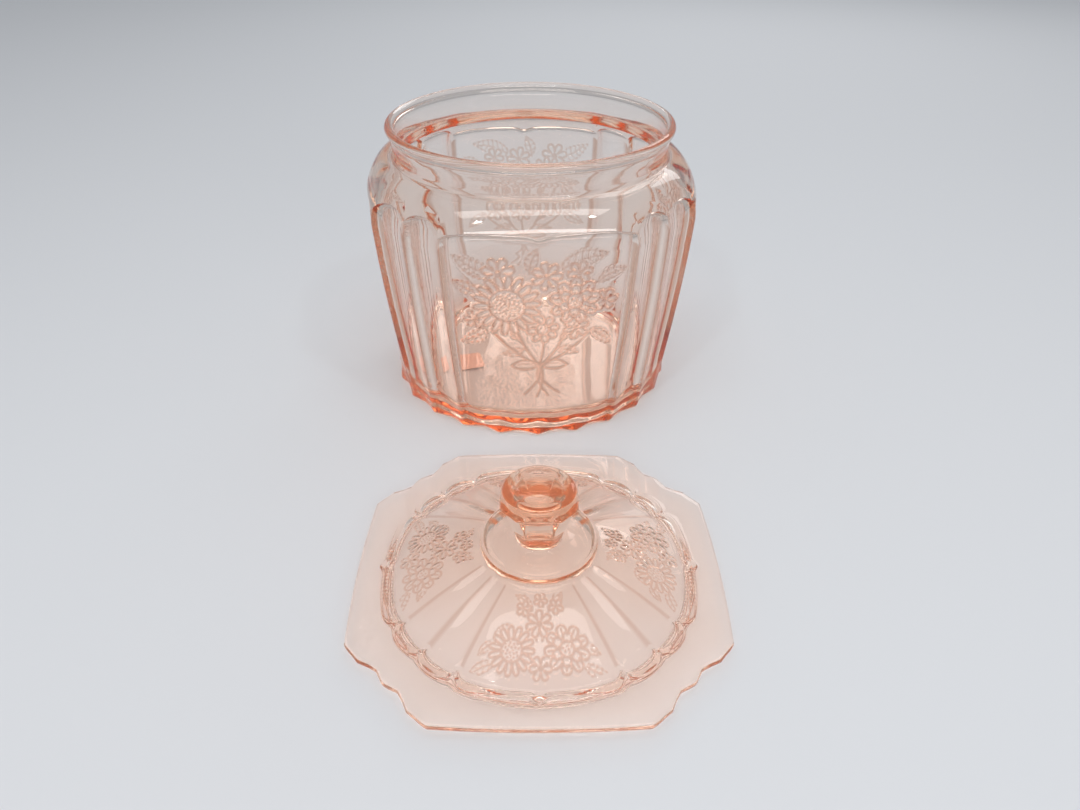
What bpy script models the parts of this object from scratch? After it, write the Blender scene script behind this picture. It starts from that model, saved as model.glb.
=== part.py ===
"""Covered glass jar with its loose lid laid beside it and a paper price label under its base.

Both glass pieces share one plan: four long panelled sides and four cut corners, with ribs
30, 45 and 60 degrees from the middle of each side. Every ring of points is worked out in
polar form around the piece's own axis, and the rings are joined into one closed skin.
Units are metres and degrees, +Z is up, and the set stands on the plane z = 0.
"""
import math

import bmesh
import bpy
from mathutils import Matrix

# Arrangement of the set on the table
JAR_PLACE = (0.0, 0.0951, 0.0)
LID_PLACE = (-0.0058, -0.1036, 0.0)
LID_TURN = -3.0

# Plan shared by the jar and the lid
SIDE_ANGLE = 90.0
RIB_ANGLE = 30.0
DIAGONAL = 45.0
SCALLOP_PITCH = 15.0
COLUMNS = 96
INNER_COLUMNS = 48

# Jar: rim and neck
JAR_HEIGHT = 0.160
RIM_RADIUS = 0.082
RIM_BEAD = 0.0024
RIM_LAND = 0.0008
NECK_RADIUS = 0.0788
NECK_FLARE = 0.0008
NECK_TOP = 0.1536
NECK_FOOT = 0.142
NECK_WALL = 0.0038

# Jar: shoulder and body
SHOULDER_FOOT = 0.1183
SIDE_REACH = 0.0955
CORNER_REACH = 0.0991
PLAN_SOFTNESS = 0.0012
SHOULDER_FULLNESS = 2.15
RIB_TOP = 0.1247
PANEL_RISE = 0.0034
PANEL_SQUARENESS = 8.0
PANEL_ARCH = 0.0010
PANEL_POINT = 0.0016
PANEL_POINT_WIDTH = 0.09
FLUTE_RISE = 0.008
FLUTE_DEPTH = 0.0034
PANEL_DEPTH = 0.0024
PANEL_BEVEL = 2.0
SCOOP_LENGTH = 0.005
RIB_SOFTNESS = 0.0004
INSIDE_OFFSET = 0.0056

# Jar: base
BASE_RADIUS = 0.0880
BASE_FILLET = 0.003
FOOT_LEVELS = (0.0008, 0.003, 0.008)
SCALLOP_FADE = 0.016
FLOOR = 0.007
FLOOR_FILLET = 0.014
FOOT_INNER = 0.0725
RECESS_RADIUS = 0.070
RECESS_DEPTH = 0.0022

# Lid: plate and outline
LID_SIDE = 0.0854
LID_SIDE_END = (0.0441, 0.0837)
LID_BULGE = (34.0, 0.0932)
LID_SCALLOP = (40.0, 0.0889)
LID_BUMP = (45.0, 0.0906)
PLATE_UNDER = 0.0045
PLATE_TOP = 0.0079

# Lid: locating flange and raised band
FLANGE_RADIUS = 0.0723
FLANGE_WALL = 0.0032
BAND_SIDE = 0.0729
BAND_BOW = 0.42
BAND_CUSP = 0.0718
BAND_PINCH_WIDTH = 0.11
BAND_LOBE = 0.0041
BAND_POINT = 0.0020
BAND_POINT_WIDTH = 0.07
BAND_WIDTH = 0.0040
BAND_RISE = 0.0015
BAND_EDGE = 0.0006

# Lid: cone, its corner flutes and its plain underside
GROOVE_WIDTH = 0.0020
FOOT_WAVINESS = 0.35
CONE_FOOT = 0.0086
CONE_TOP = 0.0241
CONE_SWELL = 0.0012
CONE_FLUTE = 0.0018
FLUTE_RUN_OUT = 0.14
LID_WALL = 0.0038
UNDER_FILLET = 0.0012
APEX_UNDER = 0.0226

# Lid: collar, dish and knob, as radius and height
COLLAR_FOOT_RADIUS = 0.0275
COLLAR_RADIUS = 0.0258
COLLAR_TOP = 0.0278
DISH = (0.0170, 0.0266)
NECK_BASE = (0.0112, 0.0286)
KNOB_NECK = (0.0098, 0.0313)
KNOB_WAIST = (0.0124, 0.0398)
KNOB_TIER = (0.0150, 0.0498)
HEAD_LOW = (0.0172, 0.0522)
HEAD_CORNER = 1.105
HEAD_HIGH = (0.0170, 0.0548)
HEAD_CREST = (0.0134, 0.0572)
DIMPLE_RIM = (0.0095, 0.0556)
DIMPLE_FLOOR = 0.0545

# Price label
LABEL_CENTRE = (-0.0445, -0.0085)
LABEL_SIZE = (0.024, 0.018)
LABEL_CORNER = 0.002
LABEL_TURN = 12.0
LABEL_THICKNESS = 0.0003
LABEL_GAP = 0.00035


def smooth(value):
    """Ease from 0 to 1 with level ends."""
    value = min(max(value, 0.0), 1.0)
    return value * value * (3.0 - 2.0 * value)


def soft_min(first, second, softness):
    """The smaller of two lengths, rounded over where they are equal."""
    gap = (second - first) / softness
    return first - softness * math.log1p(math.exp(-gap))


def fold(angle):
    """Angle from the middle of the nearest long side, 0 to 45 degrees."""
    half = SIDE_ANGLE / 2.0
    return abs((angle + half) % SIDE_ANGLE - half)


def across(angle):
    """Place across a 15 degree sector: -1 and 1 at its two ribs, 0 in its middle."""
    half = SCALLOP_PITCH / 2.0
    return (fold(angle) % SCALLOP_PITCH - half) / half


def hollow(angle, depth):
    """Depth of a concave flute that spans one sector, with its ribs slightly rounded."""
    place = across(angle)
    plain = depth * (1.0 - place * place)
    return math.hypot(plain, RIB_SOFTNESS) - RIB_SOFTNESS


def full_arc(lift):
    """Reach of a quarter arc that is a little fuller than a circle's, 1 at its foot, 0 at its top."""
    return max(1.0 - lift ** SHOULDER_FULLNESS, 0.0) ** (1.0 / SHOULDER_FULLNESS)


# ---- Jar -------------------------------------------------------------------------------


def shoulder_plan(angle):
    """Plan radius at the widest level: bowed long sides and cut corners."""
    turn = math.radians(fold(angle))
    corner_turn = math.radians(DIAGONAL) - turn
    corner = CORNER_REACH / math.cos(corner_turn)
    rib = CORNER_REACH / math.cos(math.radians(DIAGONAL - RIB_ANGLE))
    rib_x = rib * math.sin(math.radians(RIB_ANGLE))
    bow = SIDE_REACH - rib * math.cos(math.radians(RIB_ANGLE))
    arc = (rib_x * rib_x + bow * bow) / (2.0 * bow)
    centre = SIDE_REACH - arc
    side = centre * math.cos(turn) + math.sqrt(arc * arc - (centre * math.sin(turn)) ** 2)
    return soft_min(side, corner, PLAN_SOFTNESS)


def envelope(angle, height):
    """Radius of the smooth form that the ribs and the shoulder lie on."""
    plan = shoulder_plan(angle)
    if height <= SHOULDER_FOOT:
        share = height / SHOULDER_FOOT
        swell = 0.5 * share + 0.5 * math.sin(0.5 * math.pi * share)
        return BASE_RADIUS + (plan - BASE_RADIUS) * swell
    lift = min((height - SHOULDER_FOOT) / (NECK_FOOT - SHOULDER_FOOT), 1.0)
    return NECK_RADIUS + (plan - NECK_RADIUS) * full_arc(lift)


def shoulder_edge(angle):
    """Height of the shoulder's lower edge: arches over the flutes, a brace over each panel."""
    off_side = fold(angle)
    if off_side >= RIB_ANGLE:
        place = across(angle)
        return RIB_TOP + FLUTE_RISE * math.sqrt(max(1.0 - place * place, 0.0))
    share = off_side / RIB_ANGLE
    rise = PANEL_RISE * math.sqrt(max(1.0 - share ** PANEL_SQUARENESS, 0.0))
    arch = PANEL_ARCH * math.sin(math.pi * share)
    point = PANEL_POINT * math.exp(-((share / PANEL_POINT_WIDTH) ** 2))
    return RIB_TOP + rise + arch - point


def relief(angle, height):
    """Depth of the flutes, panels and foot scallops below the rib tops."""
    flute = hollow(angle, FLUTE_DEPTH)
    if fold(angle) >= RIB_ANGLE:
        return flute
    panel = PANEL_DEPTH * smooth((RIB_ANGLE - fold(angle)) / PANEL_BEVEL)
    blend = smooth(height / SCALLOP_FADE)
    return flute + (panel - flute) * blend


def body_point(angle, height):
    """Outside of the body below the shoulder's edge."""
    below = min((shoulder_edge(angle) - height) / SCOOP_LENGTH, 1.0)
    scoop = math.sqrt(max(1.0 - (1.0 - below) ** 2, 0.0))
    lift = max(BASE_FILLET - height, 0.0) / BASE_FILLET
    tuck = BASE_FILLET * (1.0 - math.sqrt(1.0 - lift * lift))
    return envelope(angle, height) - relief(angle, height) * scoop - tuck, height


def upper_body_point(angle, share):
    """Outside of the body at a share of the way up to the shoulder's edge."""
    return body_point(angle, share * shoulder_edge(angle))


def scoop_point(angle, share):
    """Scooped upper end of the flutes and panels, share 0 at the shoulder's edge."""
    return body_point(angle, shoulder_edge(angle) - share * SCOOP_LENGTH)


def shoulder_point(angle, share):
    """Outside of the shoulder, from its lower edge (0) to the foot of the neck (1)."""
    rise = NECK_FOOT - SHOULDER_FOOT
    start = math.asin((shoulder_edge(angle) - SHOULDER_FOOT) / rise)
    lift = math.sin(start + (0.5 * math.pi - start) * share)
    radius = NECK_RADIUS + (shoulder_plan(angle) - NECK_RADIUS) * full_arc(lift)
    return radius, SHOULDER_FOOT + rise * lift


def inner_shoulder_point(angle, turn):
    """Inside of the shoulder; turn runs from 90 degrees under the neck down to 0."""
    throat = NECK_RADIUS - NECK_WALL
    reach = shoulder_plan(angle) - INSIDE_OFFSET - throat
    rise = NECK_FOOT - NECK_WALL - SHOULDER_FOOT
    lift = math.sin(math.radians(turn))
    return throat + reach * full_arc(lift), SHOULDER_FOOT + rise * lift


def inner_wall_point(angle, height):
    """Inside of the body, a plain smooth form with no ribs."""
    return envelope(angle, height) - INSIDE_OFFSET, height


def floor_fillet_point(angle, turn):
    """Rounded corner between the inner wall (turn 0) and the floor (turn 90)."""
    centre_height = FLOOR + FLOOR_FILLET
    turn = math.radians(turn)
    centre = envelope(angle, centre_height) - INSIDE_OFFSET - FLOOR_FILLET
    return centre + FLOOR_FILLET * math.cos(turn), centre_height - FLOOR_FILLET * math.sin(turn)


def station(columns, point, *value):
    """One ring of the skin: its number of columns and its points in polar form."""
    ring = []
    for column in range(columns):
        angle = 360.0 * column / columns
        radius, height = point(angle, *value)
        turn = math.radians(angle)
        ring.append((radius * math.cos(turn), radius * math.sin(turn), height))
    return ring


def circle_point(_angle, radius, height):
    """A plain round ring."""
    return radius, height


def foot_point(angle, share):
    """Flat underside of the foot, from its scalloped outer edge (0) to the recess (1)."""
    outer, _ = body_point(angle, 0.0)
    return outer + (FOOT_INNER - outer) * share, 0.0


def jar_rings():
    """Rings of the jar from under the base, up the outside, over the rim and down inside."""
    bead_centre = RIM_RADIUS - RIM_BEAD
    bead_height = JAR_HEIGHT - RIM_BEAD
    inner_rim = bead_centre - RIM_BEAD
    rings = [station(INNER_COLUMNS, circle_point, 0.5 * RECESS_RADIUS, RECESS_DEPTH)]
    rings += [station(INNER_COLUMNS, circle_point, RECESS_RADIUS, RECESS_DEPTH)]
    rings += [station(COLUMNS, foot_point, share) for share in (1.0, 0.0)]
    rings += [station(COLUMNS, body_point, height) for height in FOOT_LEVELS]
    rings += [station(COLUMNS, upper_body_point, share) for share in (0.14, 0.34, 0.56, 0.78)]
    rings += [station(COLUMNS, scoop_point, share) for share in (1.0, 0.45, 0.1, 0.0)]
    rings += [station(COLUMNS, shoulder_point, share) for share in (0.3, 0.6, 0.85, 1.0)]
    rings += [station(COLUMNS, circle_point, NECK_RADIUS + NECK_FLARE, NECK_TOP)]
    for turn in (-60.0, -15.0, 30.0):
        across_bead = math.radians(turn)
        radius = bead_centre + RIM_BEAD * math.cos(across_bead)
        rings += [station(COLUMNS, circle_point, radius, bead_height + RIM_BEAD * math.sin(across_bead))]
    rings += [station(COLUMNS, circle_point, bead_centre + RIM_LAND, JAR_HEIGHT)]
    rings += [station(INNER_COLUMNS, circle_point, bead_centre - RIM_LAND, JAR_HEIGHT)]
    rings += [station(INNER_COLUMNS, circle_point, inner_rim, bead_height)]
    rings += [station(INNER_COLUMNS, inner_shoulder_point, turn) for turn in (90.0, 60.0, 30.0, 0.0)]
    rings += [station(INNER_COLUMNS, inner_wall_point, height) for height in (0.085, 0.050)]
    rings += [station(INNER_COLUMNS, floor_fillet_point, turn) for turn in (0.0, 30.0, 60.0, 90.0)]
    rings += [station(INNER_COLUMNS, circle_point, 0.5 * RECESS_RADIUS, FLOOR)]
    return rings


# ---- Lid -------------------------------------------------------------------------------


def lid_side(angle):
    """Polar radius of a long side of the lid, bowed slightly outwards."""
    end_x, end_y = LID_SIDE_END
    bow = LID_SIDE - end_y
    arc = (end_x * end_x + bow * bow) / (2.0 * bow)
    centre = LID_SIDE - arc
    turn = math.radians(fold(angle))
    return centre * math.cos(turn) + math.sqrt(arc * arc - (centre * math.sin(turn)) ** 2)


def lid_outline(angle):
    """Plan radius of the lid: bowed sides, and corners with two scallops and a bump."""
    off_side = fold(angle)
    end = math.degrees(math.atan2(LID_SIDE_END[0], LID_SIDE_END[1]))
    knots = [(end, math.hypot(*LID_SIDE_END)), LID_BULGE, LID_SCALLOP, LID_BUMP]
    if off_side <= end:
        return lid_side(angle)
    for (low, first), (high, second) in zip(knots, knots[1:]):
        if off_side <= high:
            return first + (second - first) * smooth((off_side - low) / (high - low))
    return LID_BUMP[1]


def band_radius(angle):
    """Outer line of the raised band: two lobes at each corner, a small point on each side."""
    off_side = fold(angle)
    if off_side >= RIB_ANGLE:
        place = across(angle)
        return BAND_CUSP + BAND_LOBE * math.sqrt(max(1.0 - place * place, 0.0))
    straight = BAND_SIDE / math.cos(math.radians(off_side))
    share = off_side / RIB_ANGLE
    bowed = BAND_SIDE + (straight - BAND_SIDE) * BAND_BOW
    pinch = math.exp(-((1.0 - share) / BAND_PINCH_WIDTH) ** 1.5)
    point = BAND_POINT * math.exp(-((share / BAND_POINT_WIDTH) ** 2))
    return bowed + (BAND_CUSP - bowed) * pinch + point


def band_point(angle, inset, height):
    """A line that follows the band, a given distance inside it."""
    return band_radius(angle) - inset, height


def cone_foot_radius(angle):
    """Foot of the cone, inside the groove that follows the band; nearly round."""
    even = BAND_SIDE + FOOT_WAVINESS * (band_radius(angle) - BAND_SIDE)
    return even - BAND_WIDTH - GROOVE_WIDTH


def cone_point(angle, share):
    """Top of the cone, from its foot (0) to the collar (1), with flutes at the corners."""
    foot = cone_foot_radius(angle)
    radius = foot + (COLLAR_FOOT_RADIUS - foot) * share
    swell = CONE_SWELL * math.sin(math.pi * share)
    fade = math.sin(0.5 * math.pi * min(share / FLUTE_RUN_OUT, 1.0))
    height = CONE_FOOT + (CONE_TOP - CONE_FOOT) * share + swell
    if fold(angle) >= RIB_ANGLE:
        height -= hollow(angle, CONE_FLUTE) * fade
    return radius, height


def outline_point(angle, inset, height):
    """A line that follows the lid's outline, a given distance inside it."""
    return lid_outline(angle) - inset, height


def under_cone_point(_angle, share):
    """Plain underside of the cone, from the flange (0) towards the middle (1)."""
    rim = FLANGE_RADIUS - FLANGE_WALL - UNDER_FILLET
    rim_height = CONE_FOOT - LID_WALL
    rise = (APEX_UNDER - rim_height) * share + CONE_SWELL * math.sin(math.pi * share)
    return rim * (1.0 - share), rim_height + rise


def octagon_point(angle, reach, height):
    """Faceted ring of the knob's head: eight flats, the four on the diagonals narrower."""
    off_side = math.radians(fold(angle))
    corner = HEAD_CORNER * reach / math.cos(math.radians(DIAGONAL) - off_side)
    return min(reach / math.cos(off_side), corner), height


def lid_rings():
    """Rings of the lid from the knob's dimple down its top, round the edge and underneath."""
    edge = 0.5 * (PLATE_TOP - PLATE_UNDER)
    middle = 0.5 * (PLATE_TOP + PLATE_UNDER)
    flange_inner = FLANGE_RADIUS - FLANGE_WALL
    rings = [station(INNER_COLUMNS, circle_point, *DIMPLE_RIM)]
    rings += [station(INNER_COLUMNS, circle_point, *HEAD_CREST)]
    rings += [station(INNER_COLUMNS, circle_point, *HEAD_HIGH)]
    facets = (HEAD_LOW, KNOB_TIER, KNOB_WAIST, KNOB_NECK)
    rings += [station(INNER_COLUMNS, octagon_point, *ring) for ring in facets]
    rings += [station(INNER_COLUMNS, circle_point, *NECK_BASE)]
    rings += [station(INNER_COLUMNS, circle_point, *DISH)]
    rings += [station(COLUMNS, circle_point, COLLAR_RADIUS, COLLAR_TOP)]
    rings += [station(COLUMNS, cone_point, share) for share in (1.0, 0.75, 0.4, 0.12, 0.0)]
    rings += [station(COLUMNS, band_point, BAND_WIDTH + BAND_EDGE, PLATE_TOP)]
    rings += [station(COLUMNS, band_point, BAND_WIDTH, PLATE_TOP + BAND_RISE)]
    rings += [station(COLUMNS, band_point, BAND_EDGE, PLATE_TOP + BAND_RISE)]
    rings += [station(COLUMNS, band_point, 0.0, PLATE_TOP)]
    rings += [station(COLUMNS, outline_point, edge, PLATE_TOP)]
    rings += [station(COLUMNS, outline_point, 0.3 * edge, middle + 0.7 * edge)]
    rings += [station(COLUMNS, outline_point, 0.0, middle)]
    rings += [station(COLUMNS, outline_point, 0.3 * edge, middle - 0.7 * edge)]
    rings += [station(COLUMNS, outline_point, edge, PLATE_UNDER)]
    rings += [station(COLUMNS, circle_point, FLANGE_RADIUS, height) for height in (PLATE_UNDER, 0.0)]
    rings += [station(INNER_COLUMNS, circle_point, flange_inner, 0.0)]
    rings += [station(INNER_COLUMNS, under_cone_point, share) for share in (0.0, 0.25, 0.55, 0.85)]
    return rings


# ---- Meshes and objects ----------------------------------------------------------------


def join_rings(mesh, lower, upper):
    """Faces between two rings of equal columns, or between one and another of half as many."""
    if len(lower) == len(upper):
        for column, vertex in enumerate(lower):
            after = (column + 1) % len(lower)
            mesh.faces.new((vertex, lower[after], upper[after], upper[column]))
        return
    fine, coarse = (lower, upper) if len(lower) > len(upper) else (upper, lower)
    for column, vertex in enumerate(coarse):
        after = coarse[(column + 1) % len(coarse)]
        first, middle, last = (fine[(2 * column + step) % len(fine)] for step in range(3))
        mesh.faces.new((vertex, first, middle))
        mesh.faces.new((vertex, middle, after))
        mesh.faces.new((after, middle, last))


def close_ring(mesh, ring, height):
    """Fan of faces from a ring to the axis."""
    centre = mesh.verts.new((0.0, 0.0, height))
    for column, vertex in enumerate(ring):
        mesh.faces.new((vertex, ring[(column + 1) % len(ring)], centre))


def glass_piece(name, rings, start_height, end_height, matrix, material):
    """Closed skin over a list of rings, as one object."""
    skin = bmesh.new()
    rows = [[skin.verts.new(point) for point in ring] for ring in rings]
    for lower, upper in zip(rows, rows[1:]):
        join_rings(skin, lower, upper)
    close_ring(skin, rows[0], start_height)
    close_ring(skin, rows[-1], end_height)
    bmesh.ops.recalc_face_normals(skin, faces=skin.faces)
    return add_object(name, skin, matrix, material)


def add_object(name, skin, matrix, material):
    """Object from a finished bmesh, placed by its matrix."""
    mesh = bpy.data.meshes.new(name)
    skin.to_mesh(mesh)
    skin.free()
    mesh.materials.append(material)
    mesh.shade_smooth()
    mesh.set_sharp_from_angle(angle=math.radians(35.0))
    piece = bpy.data.objects.new(name, mesh)
    piece.matrix_world = matrix
    bpy.context.scene.collection.objects.link(piece)
    return piece


def price_label(material):
    """Thin rounded paper tag held flat under the recessed base."""
    skin = bmesh.new()
    top = RECESS_DEPTH - LABEL_GAP
    half_x = 0.5 * LABEL_SIZE[0] - LABEL_CORNER
    half_y = 0.5 * LABEL_SIZE[1] - LABEL_CORNER
    outline = []
    for quarter, (sign_x, sign_y) in enumerate(((1, 1), (-1, 1), (-1, -1), (1, -1))):
        for step in range(5):
            turn = math.radians(90.0 * quarter + 22.5 * step)
            x = sign_x * half_x + LABEL_CORNER * math.cos(turn)
            y = sign_y * half_y + LABEL_CORNER * math.sin(turn)
            outline.append(skin.verts.new((x, y, top)))
    face = skin.faces.new(outline)
    lowered = bmesh.ops.extrude_face_region(skin, geom=[face])
    moved = [item for item in lowered["geom"] if isinstance(item, bmesh.types.BMVert)]
    bmesh.ops.translate(skin, verts=moved, vec=(0.0, 0.0, -LABEL_THICKNESS))
    bmesh.ops.recalc_face_normals(skin, faces=skin.faces)
    place = Matrix.Translation((LABEL_CENTRE[0], LABEL_CENTRE[1], 0.0))
    turned = Matrix.Rotation(math.radians(LABEL_TURN), 4, "Z")
    return add_object("price_label", skin, Matrix.Translation(JAR_PLACE) @ place @ turned, material)


def plain_material(name, colour, roughness, transmission):
    """Principled material with one colour."""
    material = bpy.data.materials.new(name)
    material.use_nodes = True
    shader = material.node_tree.nodes["Principled BSDF"]
    shader.inputs["Base Color"].default_value = (*colour, 1.0)
    shader.inputs["Roughness"].default_value = roughness
    shader.inputs["Metallic"].default_value = 0.0
    shader.inputs["Transmission Weight"].default_value = transmission
    shader.inputs["IOR"].default_value = 1.52
    return material


def clear_scene():
    """Start from an empty scene."""
    for item in list(bpy.data.objects):
        bpy.data.objects.remove(item, do_unlink=True)


def main():
    """Build the jar, its lid and its price label."""
    clear_scene()
    jar_glass = plain_material("jar_glass", (0.95, 0.70, 0.60), 0.03, 1.0)
    lid_glass = plain_material("lid_glass", (0.95, 0.70, 0.60), 0.03, 1.0)
    paper = plain_material("paper", (0.86, 0.55, 0.46), 0.75, 0.0)
    glass_piece("jar", jar_rings(), RECESS_DEPTH, FLOOR, Matrix.Translation(JAR_PLACE), jar_glass)
    lid_matrix = Matrix.Translation(LID_PLACE) @ Matrix.Rotation(math.radians(LID_TURN), 4, "Z")
    glass_piece("lid", lid_rings(), DIMPLE_FLOOR, APEX_UNDER, lid_matrix, lid_glass)
    price_label(paper)


main()
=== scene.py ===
"""Look of the covered pressed-glass jar, its loose lid and its paper price label.

Both glass pieces are closed skins of rings around the piece's own axis, on the plan of the
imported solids: four long panelled sides, four cut corners, and ribs 30, 45 and 60 degrees
from the middle of each side. The moulded flowers are a relief on the panels of the jar and
on the cone of the lid. Lengths are metres, the ornament is drawn in millimetres, angles are
degrees, and +Z is up.
"""
import math

import bpy
import numpy as np
from mathutils import Matrix, Vector


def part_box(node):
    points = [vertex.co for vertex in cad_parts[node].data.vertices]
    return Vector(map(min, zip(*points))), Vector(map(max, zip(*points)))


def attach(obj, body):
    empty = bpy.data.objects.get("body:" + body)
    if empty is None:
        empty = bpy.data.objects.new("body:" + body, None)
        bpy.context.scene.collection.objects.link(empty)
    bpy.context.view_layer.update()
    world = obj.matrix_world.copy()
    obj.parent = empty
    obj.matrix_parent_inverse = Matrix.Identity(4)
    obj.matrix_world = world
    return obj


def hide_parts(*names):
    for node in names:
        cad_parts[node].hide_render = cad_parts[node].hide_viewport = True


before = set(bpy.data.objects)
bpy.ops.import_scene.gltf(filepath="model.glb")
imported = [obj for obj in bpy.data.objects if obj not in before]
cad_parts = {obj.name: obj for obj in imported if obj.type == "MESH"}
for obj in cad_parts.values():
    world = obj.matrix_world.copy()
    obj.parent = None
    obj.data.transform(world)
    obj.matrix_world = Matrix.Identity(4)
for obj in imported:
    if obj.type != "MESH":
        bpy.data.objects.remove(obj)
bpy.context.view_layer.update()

# Places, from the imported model
JAR_LOW, JAR_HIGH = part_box("jar")
LID_LOW, LID_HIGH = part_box("lid")
LABEL_LOW, LABEL_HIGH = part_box("price_label")
JAR_AXIS = 0.5 * (JAR_LOW + JAR_HIGH)
LID_AXIS = 0.5 * (LID_LOW + LID_HIGH)
JAR_HEIGHT = JAR_HIGH.z - JAR_LOW.z
LID_HEIGHT = LID_HIGH.z - LID_LOW.z
LID_TURN = -3.0
LABEL_TURN = 12.0

# Plan shared by the jar and the lid
SIDE_ANGLE = 90.0
RIB_ANGLE = 30.0
DIAGONAL = 45.0
SCALLOP_PITCH = 15.0

# Jar: rim and neck
RIM_RADIUS = 0.082
RIM_BEAD = 0.0024
NECK_RADIUS = 0.0788
NECK_FLARE = 0.0008
NECK_TOP = 0.1536
NECK_LEVELS = (0.147, 0.151)
NECK_FOOT = 0.142
NECK_WALL = 0.0038
NECK_FILLET = 0.0020
THROAT_TOP = 0.1560
THROAT_STEP = 0.0001
THROAT_BEND = (0.0764, 0.1515)
THROAT_FOOT = 0.1440

# Jar: shoulder and body
SHOULDER_FOOT = 0.1183
SIDE_REACH = 0.0955
CORNER_REACH = 0.0991
PLAN_SOFTNESS = 0.0012
SHOULDER_FULLNESS = 2.15
RIB_TOP = 0.1247
PANEL_RISE = 0.0034
PANEL_SQUARENESS = 8.0
PANEL_ARCH = 0.0010
PANEL_POINT = 0.0016
PANEL_POINT_WIDTH = 0.09
FLUTE_RISE = 0.008
FLUTE_DEPTH = 0.0034
PANEL_DEPTH = 0.0024
PANEL_BEVEL = 2.0
SCOOP_LENGTH = 0.005
RIB_SOFTNESS = 0.0005
INSIDE_OFFSET = 0.0056

# Jar: base
BASE_RADIUS = 0.0880
BASE_FILLET = 0.003
SCALLOP_FADE = 0.016
FLOOR = 0.007
FLOOR_FILLET = 0.014
FOOT_INNER = 0.0725
RECESS_RADIUS = 0.070
RECESS_DEPTH = 0.0022
RECESS_SLOPE_TOP = 0.0010
RECESS_SLOPE_FOOT = 0.0007

# Lid: plate and outline
LID_SIDE = 0.0854
LID_SIDE_END = (0.0441, 0.0837)
LID_BULGE = (34.0, 0.0932)
LID_SCALLOP = (40.0, 0.0889)
LID_BUMP = (45.0, 0.0906)
PLATE_UNDER = 0.0045
PLATE_TOP = 0.0079

# Lid: locating flange, raised band and cone
FLANGE_RADIUS = 0.0723
FLANGE_WALL = 0.0032
FLANGE_CORNER = 0.0008
FLANGE_ROOT = 0.0009
FLANGE_BEADS = 200
BEAD_DEPTH = 0.00025
BEAD_TOPS = (0.0018, 0.0030)
BAND_SIDE = 0.0729
BAND_BOW = 0.42
BAND_CUSP = 0.0718
BAND_PINCH_WIDTH = 0.11
BAND_LOBE = 0.0041
BAND_POINT = 0.0020
BAND_POINT_WIDTH = 0.07
BAND_WIDTH = 0.0040
BAND_RISE = 0.0015
BAND_APRON = 0.0004
GROOVE_WIDTH = 0.0020
FOOT_WAVINESS = 0.35
CONE_FOOT = 0.0086
CONE_TOP = 0.0241
CONE_SWELL = 0.0012
CONE_FLUTE = 0.0018
FLUTE_RUN_OUT = 0.14
LID_WALL = 0.0038
UNDER_FILLET = 0.0012
UNDER_STEPS = ((0.0003, 0.0006), (0.0, 0.0014))
APEX_UNDER = 0.0226

# Lid: collar, dish and knob, as radius and height
COLLAR_FOOT_RADIUS = 0.0275
COLLAR_RADIUS = 0.0258
COLLAR_TOP = 0.0278
COLLAR_BEAD = 0.0009
DISH_EDGE = (0.0215, 0.0261)
DISH = (0.0170, 0.0266)
NECK_SPREAD = (0.0140, 0.0272)
NECK_BASE = (0.0112, 0.0286)
NECK_BEND = (0.0102, 0.0298)
KNOB_NECK = (0.0098, 0.0313)
KNOB_WAIST = (0.0124, 0.0398)
KNOB_TIER = (0.0150, 0.0498)
HEAD_LOW = (0.0172, 0.0522)
HEAD_CORNER = 1.105
HEAD_HIGH = (0.0170, 0.0548)
HEAD_ROUND = (0.0158, 0.0566)
HEAD_CREST = 0.0134
CREST_INSIDE = (0.0114, 0.0567)
DIMPLE_RIM = (0.0095, 0.0556)
DIMPLE_FLOOR = 0.0545
DIMPLE_SLOPE = (0.0050, DIMPLE_FLOOR + 0.0002)
DIMPLE_MIDDLE = 0.0015

# Columns of the skins: half the angle of the fine ones, and steps of flute, bevel and panel
JAR_FINE_HALF = 27.5
LID_FINE_HALF = 28.0
JAR_STEPS = (8, 4, 120)
LID_STEPS = (8, 2, 128)
PLAIN_COLUMNS = 192

# Rows of the skins: heights above the table, shares of the way along a part, and counts
FOOT_LEVELS = np.arange(0.005, 0.0250, 0.0028)
PANEL_LOW = 0.0265
PANEL_ROWS = 114
SHOULDER_SHARES = np.concatenate([[0.03], np.arange(0.08, 1.01, 0.092)])
INSIDE_LEVELS = np.arange(0.109, 0.022, -0.0105)
UNDER_SHARES = np.concatenate([np.arange(0.95, 0.1, -0.07), [0.06, 0.02, 0.0]])
CONE_LOW_SHARES = (0.0, 0.02)
CONE_SHARES = np.linspace(0.035, 0.93, 71)
CONE_HIGH_SHARES = (0.965, 0.985)
FACET_ROWS = 6

# Moulded lines: height and half width, drawn in millimetres
TO_MILLIMETRES = 1000.0
TO_METRES = 0.001
JAR_LINE = (0.75, 0.95)
LID_LINE = (0.60, 0.62)
BEADED_SHARE = 0.35
STIPPLE_PITCH = 2.3
GOLDEN_ANGLE = 137.508

# Painted shade along the ribs, a deeper tint standing in for the dark seen through them: strength, and
# half width in degrees
JAR_RIB_SHADE = 1.0
LID_RIB_SHADE = 0.6
RIB_SHADE_WIDTH = 1.1

# Paper label
LABEL_SIZE = (0.024, 0.018)
LABEL_CORNER = 0.002
LABEL_CORNER_STEPS = 6
LABEL_EDGE = 0.0001
LABEL_INSETS = (0.003, 0.006)
LABEL_CREASE = 40.0
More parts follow.
